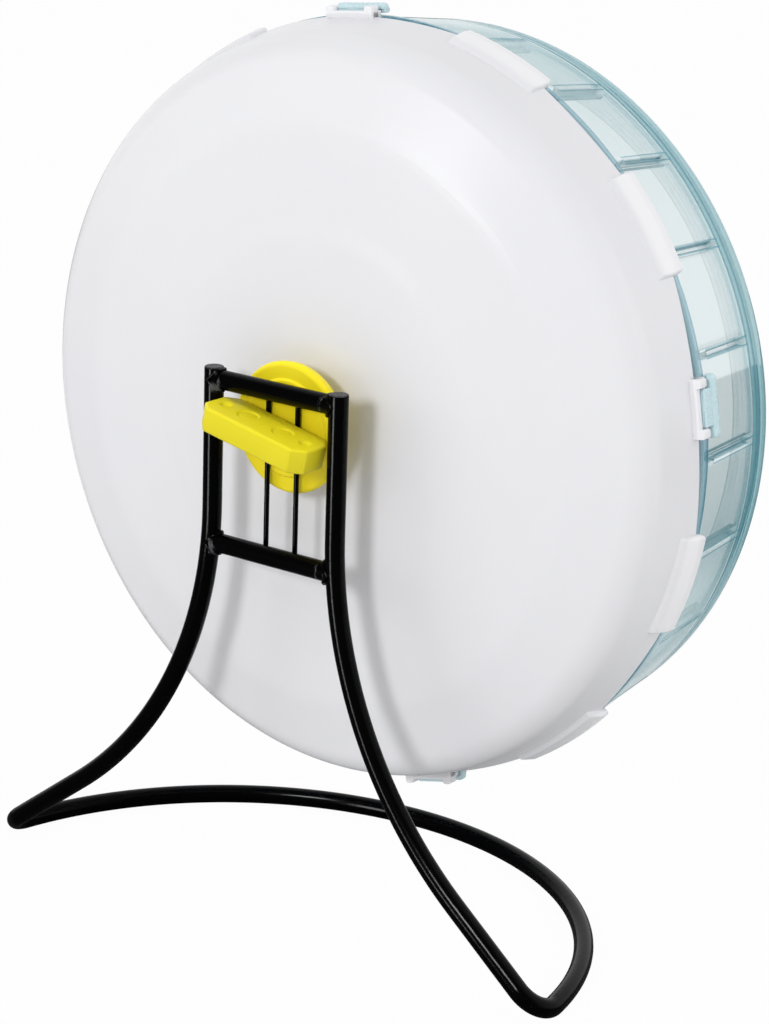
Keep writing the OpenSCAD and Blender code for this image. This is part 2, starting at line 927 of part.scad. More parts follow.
module latch_clip(turn) {
    color(aqua)
        at_axle()
            rotate([0, 0, -turn]) {
                rounded_block(0, tongue_w, hook_w0, clip_head_w0 + 1, tongue_in, tongue_out, 0.6);
                rounded_block(0, tongue_w, hook_w0, hook_w1, catch_out - hook_bite, tongue_in + 0.5, 0.1);
                rounded_block(0, head_w, clip_head_w0, clip_head_w1, clip_head_in, tongue_out + 0.5, 1.6);
                translate([-head_w / 2, clip_head_in + root_r, clip_head_w1])
                    rotate([0, 90, 0])
                        cylinder(h = head_w, r = root_r);
            }
}

module latch_clip_top() {
    latch_clip(top_turn);
}

module latch_clip_left() {
    latch_clip(left_turn);
}

module latch_clip_bottom() {
    latch_clip(bottom_turn);
}

module latch_clip_right() {
    latch_clip(right_turn);
}

module hub_cap() {
    r = cap_d / 2;
    spigot = seat_r - 0.05;
    wall = 1.4;
    profile = [
        [0, hub_front_w + wall],
        [spigot - wall, hub_front_w + wall],
        [spigot - wall, hub_front_w - cap_spigot],
        [spigot, hub_front_w - cap_spigot],
        [spigot, hub_front_w],
        [r, hub_front_w],
        [r, hub_front_w + cap_rim_t],
        [r * 0.86, hub_front_w + cap_rim_t + cap_dome * 0.55],
        [r * 0.6, hub_front_w + cap_rim_t + cap_dome * 0.86],
        [r * 0.3, hub_front_w + cap_rim_t + cap_dome * 0.97],
        [0, hub_front_w + cap_rim_t + cap_dome]
    ];
    color(yellow)
        at_axle()
            turned(profile);
}

stand_rod();
top_crossbar();
bottom_crossbar();
left_cage_wire();
right_cage_wire();
weld_beads();
clamp_plate();
clamp_bar();
clamp_nut();
axle_bolt();
axle_washer();
spacer_sleeve();
bearing_inner_ring();
bearing_outer_ring();
bearing_balls();
ball_cage();
bearing_shields();
bearing_retainer();
back_shell();
track_ring();
latch_clip_top();
latch_clip_left();
latch_clip_bottom();
latch_clip_right();
hub_cap();
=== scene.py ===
"""Looks of the rodent exercise wheel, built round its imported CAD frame. Lengths are in metres."""

import json
import math

import bmesh
import bpy
import numpy as np
from mathutils import Matrix, Vector


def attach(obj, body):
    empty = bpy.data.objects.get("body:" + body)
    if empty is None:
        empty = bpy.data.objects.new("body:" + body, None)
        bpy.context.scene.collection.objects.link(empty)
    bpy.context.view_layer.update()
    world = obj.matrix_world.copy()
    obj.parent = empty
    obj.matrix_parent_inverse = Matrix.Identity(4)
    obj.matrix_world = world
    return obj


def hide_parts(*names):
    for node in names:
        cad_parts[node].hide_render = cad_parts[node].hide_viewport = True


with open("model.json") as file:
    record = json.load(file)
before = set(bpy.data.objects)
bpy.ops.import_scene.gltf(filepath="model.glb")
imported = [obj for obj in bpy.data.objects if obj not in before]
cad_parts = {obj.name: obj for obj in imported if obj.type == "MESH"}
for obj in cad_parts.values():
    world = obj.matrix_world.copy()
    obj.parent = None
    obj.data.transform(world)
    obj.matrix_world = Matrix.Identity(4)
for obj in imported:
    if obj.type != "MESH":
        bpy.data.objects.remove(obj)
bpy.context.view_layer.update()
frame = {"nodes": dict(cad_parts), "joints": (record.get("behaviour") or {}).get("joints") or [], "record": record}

MM = 0.001
nodes = frame["nodes"]


def mm(*values):
    """Millimetres as a list of metres."""
    return [v * MM for v in values]


# The axle's height and the uprights' plane, read from the frame
joint_at = {j["name"]: j.get("pos_m") for j in frame["joints"]}
AXLE_Z = joint_at["bolt_turn"][2]
STAND_Y = joint_at["bolt_turn"][1]

# Wheel space is in millimetres: across (+X), up from the axle, and depth forward (-Y) from the uprights.
# Stand space is in millimetres: across (+X), backward (+Y) from the uprights, and up from the floor.
TURN = 2 * math.pi
ROD_R = 3.75
ROD_TOP = 215.9
UPRIGHT_X = 29.7
TOP_BAR_Z = 211.2
BOTTOM_BAR_Z = 147.4
WIRE_X = 7.0
WIRE_Y = -4.77
RIM_R = 147.8
RIM_DEPTH = 62.0
SKIRT_TILT = math.radians(12)
FLARE = math.tan(SKIRT_TILT)
BAND_R = 146.7
BAND_DEPTH = 64.8
BAND_TILT = math.radians(6.4)
BAND_WALL = 2.2

# Turns are in degrees from up towards +X
LATCH_TURNS = {"top": 5.7, "left": 99.6, "bottom": 193.5, "right": 279.7}
TAB_OFFSET = 26.5
TAB_HALF = 8.0
RIB_COUNT = 24
RIB_PITCH = 360 / RIB_COUNT
FIRST_RIB = 1.5
RIB_HALF = 0.62


class Value:
    """A number that flows between nodes. Python's operators on it add Math nodes."""

    def __init__(self, paint, socket):
        self.paint = paint
        self.socket = socket

    def math(self, operation, *others, clamp=False):
        """Adds one Math node fed by this value and the others."""
        inputs = dict(enumerate((self, *others)))
        made = self.paint.node("ShaderNodeMath", {"operation": operation, "use_clamp": clamp}, inputs)
        return Value(self.paint, made.outputs[0])

    def __add__(self, other):
        return self.math("ADD", other)

    __radd__ = __add__

    def __mul__(self, other):
        return self.math("MULTIPLY", other)

    __rmul__ = __mul__

    def __sub__(self, other):
        return self.math("SUBTRACT", other)

    def __rsub__(self, other):
        return (self * -1) + other

    def __truediv__(self, other):
        return self.math("DIVIDE", other)

    def __pow__(self, other):
        return self.math("POWER", other)

    def __abs__(self):
        return self.math("ABSOLUTE")

    def ramp(self, low, high):
        """0 below low, 1 above high, and smooth between them."""
        settings = {"interpolation_type": "SMOOTHSTEP"}
        made = self.paint.node("ShaderNodeMapRange", settings, {0: self, 1: low, 2: high})
        return Value(self.paint, made.outputs[0])

    def near(self, middle, inner, outer):
        """1 within inner of the middle, and 0 beyond outer."""
        return 1 - abs(self - middle).ramp(inner, outer)

    def between(self, low, full_from, full_to, high):
        """1 from full_from to full_to, and 0 below low and above high."""
        return self.ramp(low, full_from) * (1 - self.ramp(full_to, high))


class Paint:
    """A material's node tree, with one method for every kind of node."""

    def __init__(self, name):
        self.material = bpy.data.materials.new(name)
        self.material.use_nodes = True
        self.tree = self.material.node_tree
        self.tree.nodes.clear()
        self.place = self.node("ShaderNodeTexCoord").outputs["Object"]

    def node(self, kind, settings=None, inputs=None):
        """Adds a node: its settings first, then the values or links of its sockets."""
        made = self.tree.nodes.new(kind)
        for key, value in (settings or {}).items():
            setattr(made, key, value)
        for key, value in (inputs or {}).items():
            if isinstance(value, Value):
                value = value.socket
            if isinstance(value, bpy.types.NodeSocket):
                self.tree.links.new(value, made.inputs[key])
            else:
                made.inputs[key].default_value = value
        return made

    def axes(self):
        """The surface point's X, Y and Z as three values."""
        made = self.node("ShaderNodeSeparateXYZ", None, {0: self.place})
        return [Value(self, made.outputs[i]) for i in range(3)]

    def wheel_axes(self):
        """Across, up from the axle, depth from the uprights, and the distance from the axle."""
        across, along, up = self.axes()
        height = up - AXLE_Z
        return across, height, STAND_Y - along, (across * across + height * height) ** 0.5

    def facing(self):
        """0 where the surface faces the viewer, and 1 at a glancing view."""
        weight = self.node("ShaderNodeLayerWeight", None, {"Blend": 0.5})
        return Value(self, weight.outputs["Facing"])

    def noise(self, scale, detail=3.0, stretch=(1, 1, 1), roughness=0.5):
        """Noise from 0 to 1. scale is in features a metre, and stretch multiplies it along each axis."""
        mapped = self.node("ShaderNodeMapping", None, {"Vector": self.place, "Scale": stretch})
        inputs = {"Vector": mapped.outputs[0], "Scale": scale, "Detail": detail, "Roughness": roughness}
        return Value(self, self.node("ShaderNodeTexNoise", None, inputs).outputs[0])

    def blend(self, amount, first, second):
        """Colour that goes from first to second as amount goes from 0 to 1."""
        inputs = {"Factor": amount, 6: first, 7: second}
        made = self.node("ShaderNodeMix", {"data_type": "RGBA"}, inputs)
        return made.outputs[2]

    def bump(self, height, distance, strength=1.0):
        """Normal bumped by a height of 0 to 1 that stands for distance metres."""
        inputs = {"Height": height, "Distance": distance, "Strength": strength}
        return self.node("ShaderNodeBump", None, inputs).outputs[0]

    def shader(self, **inputs):
        """A Principled shader. Underscores in the names stand for blanks."""
        named = {key.replace("_", " "): value for key, value in inputs.items()}
        return self.node("ShaderNodeBsdfPrincipled", None, named).outputs[0]

    def clear(self, red, green, blue):
        """A shader that lets light pass straight through with a tint."""
        inputs = {"Color": (red, green, blue, 1)}
        return self.node("ShaderNodeBsdfTransparent", None, inputs).outputs[0]

    def mix(self, share, first, second):
        """A shader that goes from first to second as share goes from 0 to 1."""
        inputs = {0: share, 1: first, 2: second}
        return self.node("ShaderNodeMixShader", None, inputs).outputs[0]

    def finish(self, surface):
        """Links the surface to the output and gives the material."""
        self.node("ShaderNodeOutputMaterial", None, {"Surface": surface})
        return self.material


def colour(red, green, blue):
    """A screen colour of 0 to 255 a channel, as the linear colour that renders so."""
    linear = [
        c / 12.92 if c <= 0.04045 else ((c + 0.055) / 1.055) ** 2.4
        for c in (red / 255, green / 255, blue / 255)
    ]
    return (*linear, 1.0)


def white_shell_plastic():
    """Glossy white plastic with faint waves, painted lighter on the tabs, which stand out past the rim: a painted
    highlight for the light their outer faces catch.
    """
    paint = Paint("white_shell_plastic")
    cloud = paint.noise(9, detail=2)
    grain = paint.noise(1400, detail=2)
    wave = paint.noise(28, detail=1)
    radius = paint.wheel_axes()[3]
    tone = paint.blend(cloud, colour(232, 232, 237), colour(238, 238, 240))
    # painted highlight: the tabs past the rim are lightened for the light their outer faces catch
    tone = paint.blend(radius.ramp(RIM_R * MM, (RIM_R + 1) * MM), tone, colour(247, 247, 250))
    normal = paint.bump(wave * 0.9 + grain * 0.02, 0.00018)
    rough = cloud * 0.05 + 0.22
    return paint.finish(paint.shader(Base_Color=tone, Roughness=rough, Normal=normal, IOR=1.49))


def clear_blue_plastic():
    """Clear tinted plastic, deeper at the thick bead and spigot behind, at the folded front edge and along
    the ribs' sides, with a painted highlight in a pale line on the step before that edge.

    Its gloss is a mirror whose share rises steeply towards a glancing view, and is weak on the ribs."""
    paint = Paint("clear_blue_plastic")
    cloud = paint.noise(30, detail=2)
    across, height, depth, radius = paint.wheel_axes()
    behind = 1 - depth.ramp(0.0640, 0.0652)
    front = depth.ramp(0.1030, 0.1046) * radius.ramp(0.1335, 0.1370)
    # painted highlight: a pale line on the step just before the folded front edge
    step = depth.near(0.1031, 0.0003, 0.0008)
    turn = across.math("ARCTAN2", height) * math.degrees(1)
    half_pitch = RIB_PITCH / 2
    off_rib = abs((turn + (360 - FIRST_RIB + half_pitch)).math("MODULO", RIB_PITCH) - half_pitch)
    ribbed = depth.between(0.0700, 0.0715, 0.1045, 0.1060)
    lines = off_rib.near(RIB_HALF, 0.07, 0.16) * ribbed
    rib = (1 - off_rib.ramp(0.80, 0.95)) * ribbed
    dark = behind.math("MAXIMUM", lines)
    thick = dark.math("MAXIMUM", front)
    pale = paint.blend(cloud, colour(112, 186, 197), colour(132, 202, 210))
    # the painted highlight's pale colour on that step
    pale = paint.blend(step, pale, colour(232, 250, 252))
    deep = paint.blend(dark, colour(84, 174, 190), colour(28, 138, 166))
    body = paint.shader(Base_Color=paint.blend(thick, pale, deep), Roughness=0.08, IOR=1.49)
    passed = paint.mix(thick, paint.clear(0.978, 0.99, 0.992), paint.clear(0.77, 0.92, 0.94))
    facing = paint.facing()
    share = facing**3 * 0.9 + behind * 0.5 + front * 0.22 + lines * 0.38 + step * 0.4 + 0.01
    gloss = (facing**5 * 0.25 + 0.15) * (1 - rib * 0.7)
    mirror = paint.node("ShaderNodeBsdfAnisotropic", None, {"Color": (1, 1, 1, 1), "Roughness": 0.04})
    return paint.finish(paint.mix(gloss, paint.mix(share, passed, body), mirror.outputs[0]))


def frosted_blue_plastic():
    """The same plastic with the fine frosting of the small moulded latches."""
    paint = Paint("frosted_blue_plastic")
    frost = paint.noise(900, detail=3)
    tone = paint.blend(frost, colour(214, 243, 250), colour(226, 249, 253))
    normal = paint.bump(frost, 0.00003)
    body = paint.shader(Base_Color=tone, Roughness=frost * 0.1 + 0.22, Normal=normal, IOR=1.49)
    return paint.finish(paint.mix(paint.facing() * 0.2 + 0.75, paint.clear(0.95, 0.98, 0.99), body))


def yellow_plastic():
    """Satin yellow plastic with a fine grain, painted lighter and a little more orange on the plate than on the
    bar, to offset the shade the plate sits in.
    """
    paint = Paint("yellow_plastic")
    cloud = paint.noise(60, detail=3)
    grain = paint.noise(2600, detail=2)
    # painted light: everything more than 6 mm ahead of the uprights, the plate among it, is lightened against the
    # shade it sits in
    plate_painted_light = (STAND_Y - paint.axes()[1]).ramp(0.004, 0.006)
    tone = paint.blend(cloud, colour(219, 205, 28), colour(226, 212, 36))
    tone = paint.blend(plate_painted_light, tone, colour(240, 220, 32))
    normal = paint.bump(grain * 0.3 + cloud * 0.7, 0.00006)
    rough = cloud * 0.1 + 0.38
    return paint.finish(
        paint.shader(Base_Color=tone, Roughness=rough, Normal=normal, Specular_IOR_Level=0.3)
    )


def black_coating():
    """Gloss black coating, a little uneven and dusty, paler in streaks on the rod's cut tops, partly scuffs and
    partly a painted sheen of those up-facing tops, and with painted highlights in patches on the outer side
    of the four crossbar welds."""
    paint = Paint("black_coating")
    peel = paint.noise(420, detail=2)
    dust = paint.noise(3000, detail=3).ramp(0.66, 0.8)
    streak = paint.noise(700, detail=4, stretch=(1.6, 0.5, 1), roughness=0.7)
    # painted highlights: patches that stand in for the glints on the weld lumps
    weld_highlight_spots = paint.noise(230, detail=3, stretch=(1.5, 1, 0.6)).ramp(0.54, 0.66)
    across, along, up = paint.axes()
    top = up.ramp((ROD_TOP - 0.5) * MM, (ROD_TOP - 0.2) * MM)
    middle = (TOP_BAR_Z + BOTTOM_BAR_Z) / 2 * MM
    half_gap = (TOP_BAR_Z - BOTTOM_BAR_Z) / 2 * MM
    weld = abs(across).near((UPRIGHT_X - 3.2) * MM, 0.0022, 0.0040)
    weld = weld * abs(up - middle).near(half_gap, 0.0030, 0.0050)
    weld = weld * (along - STAND_Y).ramp(0.0005, 0.0020)
    # paler streaks on the cut tops, partly scuffs and partly a painted sheen, and the painted highlights at the
    # welds
    painted_sheen_and_scuff = (top * (streak.ramp(0.35, 0.7) * 0.8 + 0.2)).math("MAXIMUM", weld * weld_highlight_spots * 0.9)
    dark = paint.blend(dust, colour(2, 2, 3), colour(10, 10, 11))
    # the paler colour of the painted sheen, the painted weld highlights and the scuffs
    tone = paint.blend(painted_sheen_and_scuff, dark, colour(92, 92, 95))
    normal = paint.bump(peel + streak * top, 0.00004)
    rough = peel * 0.06 + painted_sheen_and_scuff * 0.3 + 0.13
    return paint.finish(
        paint.shader(Base_Color=tone, Roughness=rough, Normal=normal, Specular_IOR_Level=0.08)
    )


def bright_steel():
    """Brushed steel, with streaks along the axle."""
    paint = Paint("bright_steel")
    brushed = paint.noise(900, detail=3, stretch=(1, 0.06, 1))
    tone = paint.blend(brushed, colour(176, 178, 182), colour(206, 208, 212))
    normal = paint.bump(brushed, 0.00004)
    return paint.finish(
        paint.shader(Base_Color=tone, Metallic=1.0, Roughness=brushed * 0.2 + 0.22, Normal=normal)
    )


MATERIALS = {
    "white_plastic": white_shell_plastic(),
    "clear_blue_plastic": clear_blue_plastic(),
    "frosted_blue_plastic": frosted_blue_plastic(),
    "yellow_plastic": yellow_plastic(),
    "black_coated_steel": black_coating(),
    "bright_steel": bright_steel(),
}


def dress(piece, material):
    """Gives a piece one material."""
    piece.data.materials.clear()
    piece.data.materials.append(material)


for part in frame["record"]["subparts"]:
    dress(nodes[part["node"]], MATERIALS[part["material_slot"]])


def turned(across, radial, depth, angle):
    """Metres from wheel space whose up direction is turned by an angle from up towards +X."""
    x = across * np.cos(angle) + radial * np.sin(angle)
    z = radial * np.cos(angle) - across * np.sin(angle)
    return np.stack(np.broadcast_arrays(x * MM, STAND_Y - depth * MM, AXLE_Z + z * MM), axis=-1)


def stood(points):
    """Metres from points in stand space."""
    return points * MM + np.array([0, STAND_Y, 0])


def unit(vectors):
    """Vectors of the same directions and length 1."""
    return vectors / np.linalg.norm(vectors, axis=-1, keepdims=True)


def smooth(value, low, high):
    """0 below low, 1 above high, and 3t^2 - 2t^3 between them."""
    t = np.clip((value - low) / (high - low), 0, 1)
    return t * t * (3 - 2 * t)


def fillet(corner, back, ahead, radius, spacing):
    """Arc that rounds the corner between two runs, which leave it along the unit vectors back and ahead.

    Its centre lies on the bisector, radius / sin(half the angle) away. A point is the centre plus a mixture
    of the arc's first and last spoke, weighted by sines, so that it keeps the radius.
    """
    half = math.acos(float(np.clip(back @ ahead, -1, 1))) / 2
    run = radius / math.tan(half)
    centre = corner + unit(back + ahead) * radius / math.sin(half)
    first = corner + back * run - centre
    last = corner + ahead * run - centre
    sweep = math.pi - 2 * half
    share = np.linspace(0, 1, max(3, math.ceil(sweep / spacing)) + 1)[:, None]
    return centre + (np.sin((1 - share) * sweep) * first + np.sin(share * sweep) * last) / math.sin(sweep)


def filled(points, step, closed):
    """The same outline with its runs cut into pieces no longer than step, and a point close to each end."""
    close = 0.15
    rows = []
    for here, there in zip(points, np.roll(points, -1, axis=0) if closed else points[1:]):
        length = float(np.linalg.norm(there - here))
        pieces = max(1, math.ceil(length / step))
        share = np.arange(pieces) / pieces
        if length > 1.0:
            share = np.unique(np.concatenate([share, [close / length, 1 - close / length]]))
        rows.append(here + (there - here) * share[:, None])
    if not closed:
        rows.append(points[-1:])
    return np.concatenate(rows)


def outline(corners, step, closed=True):
    """Outline through corners of (u, v, radius), each rounded by an arc of its radius, as far as its runs
    allow. A corner stays sharp when it has almost no radius or turn."""
    least_radius, straight, arc_spacing, run_share = 0.01, 1.565, 0.35, 0.47
    corners = np.array(corners, float)
    spots, radii = corners[:, :2], corners[:, 2]
    rows = []
    for i, here in enumerate(spots):
        before, after = spots[i - 1] - here, spots[(i + 1) % len(spots)] - here
        room = run_share * min(np.linalg.norm(before), np.linalg.norm(after))
        back, ahead = unit(before), unit(after)
        half = math.acos(float(np.clip(back @ ahead, -1, 1))) / 2
        radius = min(radii[i], room * math.tan(half))
        if radius < least_radius or half > straight or (not closed and i in (0, len(spots) - 1)):
            rows.append(here[None])
        else:
            rows.append(fillet(here, back, ahead, radius, arc_spacing))
    return filled(np.concatenate(rows), step, closed)


def cushion(rim, low, high, edge):
    """Rings of a solid with that flat outline between two heights, its edges rounded to the radius edge.

    A ring is the outline moved inward by edge * (1 - sin a), edge * (1 - cos a) away from a face, for a
    from 0 to 90 degrees. A face has one more ring a little further in, and one shrunk to its middle.
    """
    tangent = unit(np.roll(rim, -1, axis=0) - np.roll(rim, 1, axis=0))
    inward = np.stack([-tangent[:, 1], tangent[:, 0]], axis=-1)
    a = np.linspace(0, math.pi / 2, 5)
    inset = np.concatenate([[edge * 1.3], edge * (1 - np.sin(a))])
    lift = np.concatenate([[0], edge * (1 - np.cos(a))])
    insets = np.concatenate([inset, inset[::-1]])
    heights = np.concatenate([low + lift, high - lift[::-1]])
    rings = rim[None] + inward[None] * insets[:, None, None]
    middle = np.broadcast_to(rim.mean(axis=0), (1, *rim.shape))
    rings = np.concatenate([middle, rings, middle])
    heights = np.concatenate([[low], heights, [high]])
    return np.concatenate([rings, np.broadcast_to(heights[:, None, None], (*rings.shape[:2], 1))], axis=-1)


def tube(path, radii, reference, sides=32):
    """Rings round a path. A ring's points are the path's point plus the radius times the cosine and sine
    of an angle along two vectors square to the path, the first the nearest to the reference direction."""
    forward = unit(np.gradient(path, axis=0))
    first = unit(reference - np.sum(reference * forward, axis=-1, keepdims=True) * forward)
    second = np.cross(forward, first)
    angle = np.linspace(0, TURN, sides, endpoint=False)[None, :, None]
    return path[:, None] + np.asarray(radii)[:, None, None] * (
        np.cos(angle) * first[:, None] + np.sin(angle) * second[:, None]
    )


def revolved(profile, count=360):
    """Metres of a profile of (radius, depth) carried round the axle."""
    angle = np.linspace(0, TURN, count, endpoint=False)[:, None]
    return turned(0, profile[None, :, 0], profile[None, :, 1], angle)


def faces_of(rows, columns, wrap_rows, wrap_columns):
    """Vertex numbers of a grid's quads. A wrapped direction joins its end to its start."""
    row = np.arange(rows if wrap_rows else rows - 1)[:, None]
    column = np.arange(columns if wrap_columns else columns - 1)[None, :]
    next_row, next_column = (row + 1) % rows, (column + 1) % columns
    corners = (
        row * columns + column,
        next_row * columns + column,
        next_row * columns + next_column,
        row * columns + next_column,
    )
    return np.stack(np.broadcast_arrays(*corners), axis=-1).reshape(-1, 4)


def piece(name, grids, body, replaced, finish):
    """One piece out of grids of (metres, wrap rows, wrap columns), its poles merged, its faces outward."""
    points, faces, start = [], [], 0
    for grid, wrap_rows, wrap_columns in grids:
        points.append(grid.reshape(-1, 3))
        faces.append(faces_of(*grid.shape[:2], wrap_rows, wrap_columns) + start)
        start += len(points[-1])
    mesh = bpy.data.meshes.new(name)
    mesh.from_pydata(np.concatenate(points).tolist(), [], np.concatenate(faces).tolist())
    shape = bmesh.new()
    shape.from_mesh(mesh)
    bmesh.ops.remove_doubles(shape, verts=shape.verts, dist=1e-6)
    bmesh.ops.recalc_face_normals(shape, faces=shape.faces)
    shape.to_mesh(mesh)
    shape.free()
    mesh.shade_smooth()
    made = bpy.data.objects.new(name, mesh)
    bpy.context.scene.collection.objects.link(made)
    dress(made, MATERIALS[finish])
    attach(made, body)
    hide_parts(*replaced)
    return made


def stand_rod():
    """The rod: half the base's arc, a foot bend, a straight leg, a wide bend and an upright, and their
    mirror image. The base's underside is pressed flat at the floor."""
    base_r, base_middle, base_height = 134.5, 19.5, ROD_R - 0.25
    foot_run, knee_z, knee_r = 13, 82.0, 159
    turn = np.radians(np.linspace(0, 79, 80))
    flat = np.stack([base_r * np.sin(turn), base_middle - base_r * np.cos(turn)], axis=-1)
    base = np.concatenate([flat, np.full((len(turn), 1), base_height)], axis=-1)
    level = np.array([math.cos(turn[-1]), math.sin(turn[-1]), 0])
    foot = base[-1] + foot_run * level
    knee = np.array([UPRIGHT_X, 0, knee_z])
    leg = unit(knee - foot)
    foot_half = math.acos(float(-level @ leg)) / 2
    low_bend = fillet(foot, -level, leg, foot_run * math.tan(foot_half), 0.07)
    high_bend = fillet(knee, -leg, np.array([0, 0, 1.0]), knee_r, 0.02)
    shoulder = np.array([[UPRIGHT_X, 0, ROD_TOP - d] for d in (0.6, 0.25, 0.08, 0.0002, 0.0001, 0)])
    run = filled(np.stack([low_bend[-1], high_bend[0]]), 3, closed=False)[1:-1]
    upright = filled(np.stack([high_bend[-1], shoulder[0]]), 3, closed=False)[1:-1]
    half = np.concatenate([base[:-1], low_bend, run, high_bend, upright, shoulder])
    radii = np.full(len(half), ROD_R)
    radii[-5:] = ROD_R - 0.12, ROD_R - 0.35, ROD_R - 0.6, ROD_R - 0.9, 0
    share = smooth(np.arange(len(half)), len(base) - 1, len(base) + len(low_bend) - 2)[:, None]
    lean = np.concatenate([0 * share, share, 1 - share], axis=-1)
    path = np.concatenate([half[:0:-1] * [-1, 1, 1], half])
    rings = tube(path, np.concatenate([radii[:0:-1], radii]), np.concatenate([lean[:0:-1], lean]))
    rings[..., 2] = np.maximum(rings[..., 2], 0)
    piece("bent_stand_rod", [(stood(rings), False, True)], "stand", ["stand_rod"], "black_coated_steel")


def crossbar(name, node, height):
    """A crossbar whose ends are coped to the uprights: at an angle a round it, it ends where its surface at
    the depth r cos a meets the upright, sqrt(r^2 - (r cos a)^2) short of the upright's centre line."""
    a = np.linspace(0, TURN, 40, endpoint=False)[None, :]
    reach = UPRIGHT_X + 0.25 - ROD_R * abs(np.sin(a))
    pole = np.full_like(a, UPRIGHT_X - 1.2)
    x = np.concatenate([-pole, np.linspace(-1, 1, 41)[:, None] * reach, pole])
    r = np.full((len(x), 1), ROD_R)
    r[[0, -1]] = 0
    rings = np.stack(np.broadcast_arrays(x, r * np.cos(a), height + r * np.sin(a)), axis=-1)
    piece(name, [(stood(rings), False, True)], "stand", [node], "black_coated_steel")


def weld_seam(side, height, seed):
    """A bead along the joint of a crossbar and an upright. At an angle a round the crossbar it runs at the
    depth r cos a, r |sin a| short of the upright's centre line, and its section is a ring that swells and
    shrinks in ripples, thinnest at the front and back, where the two rods' surfaces touch. It stays below
    the rod's top."""
    bead_r, below_top = 1.2, 0.4
    a = np.linspace(0, TURN, 96, endpoint=False)
    short = ROD_R * abs(np.sin(a))
    ripple = 1 + 0.10 * np.sin(5 * a + seed) + 0.04 * np.sin(11 * a + 2 * seed)
    size = bead_r * (0.5 + 0.5 * abs(np.sin(a))) * ripple
    spine = np.stack([side * (UPRIGHT_X - short), ROD_R * np.cos(a), height + ROD_R * np.sin(a)], axis=-1)
    spoke = np.stack([0 * a, np.cos(a), np.sin(a)], axis=-1)
    inward = np.array([-side, 0, 0])
    b = np.linspace(0, TURN, 14, endpoint=False)[None, :, None]
    rings = np.cos(b) * spoke[:, None] + np.sin(b) * inward
    rings = spine[:, None] + size[:, None, None] * rings
    rings[..., 2] = np.minimum(rings[..., 2], ROD_TOP - below_top)
    return stood(rings)


def weld_drop(across, height, seed):
    """A small drop of weld beside a wire: a ball a little flatter front to back, whose surface waves three
    times round its equator."""
    drop_r, drop_depth, behind_wire = 0.95, 0.85, 0.67
    lat = np.linspace(-math.pi / 2, math.pi / 2, 11)[:, None]
    lon = np.linspace(0, TURN, 18, endpoint=False)[None, :]
    r = 1 + 0.08 * np.sin(3 * lon + seed) * np.cos(lat)
    x = across + drop_r * r * np.cos(lat) * np.cos(lon)
    y = WIRE_Y + behind_wire + drop_depth * r * np.sin(lat)
    z = height + drop_r * r * np.cos(lat) * np.sin(lon)
    return stood(np.stack(np.broadcast_arrays(x, y, z), axis=-1))


def welds():
    """Four seams at the crossbars' ends and a drop on each side of each wire, each with ripples of its
    own."""
    beside, bars = 1.1, (TOP_BAR_Z, BOTTOM_BAR_Z)
    joints = [(side, height) for side in (-1, 1) for height in bars]
    drops = [(w + s, h) for w in (-WIRE_X, WIRE_X) for s in (-beside, beside) for h in bars]
    grids = [(weld_seam(*joint, 1.7 * n), True, True) for n, joint in enumerate(joints)]
    grids += [(weld_drop(*drop, 2.3 * n), False, True) for n, drop in enumerate(drops)]
    piece("weld_seams", grids, "stand", ["weld_beads"], "black_coated_steel")


def cage_wire(name, node, across):
    """A wire of radius 1 mm with rounded ends: near an end its radius is that of a half ball. It ends a
    little past the crossbars."""
    past = 2
    low, high = BOTTOM_BAR_Z - past, TOP_BAR_Z + past
    end = 1 - np.cos(np.linspace(0, math.pi / 2, 7))
    z = np.concatenate([low + end, np.linspace(low + past, high - past, 30), high - end[::-1]])
    radii = np.sqrt(np.clip(1 - np.clip(1 - np.minimum(z - low, high - z), 0, 1) ** 2, 0, 1))
    path = np.stack([np.full_like(z, across), np.full_like(z, WIRE_Y), z], axis=-1)
    rings = tube(path, radii, np.array([0, 1.0, 0]), sides=20)
    piece(name, [(stood(rings), False, True)], "stand", [node], "black_coated_steel")


def clamp_disc():
    """The clamp's plate: a turned profile with soft edges, a raised middle towards the wires and a boss."""
    corners = [
        (2.65, 6.07, 0.3), (18.2, 6.07, 0.7), (18.8, 7.17, 0.5), (25.6, 7.17, 1.9), (24.4, 12.07, 0.8),
        (13, 12.07, 1.2), (13, 17.07, 0.8), (4.1, 17.07, 0.4), (4.1, 10.92, 0), (2.65, 10.92, 0),
    ]
    grid = revolved(outline(corners, 1.5), 180)
    piece("clamp_disc", [(grid, True, True)], "stand", ["clamp_plate"], "yellow_plastic")


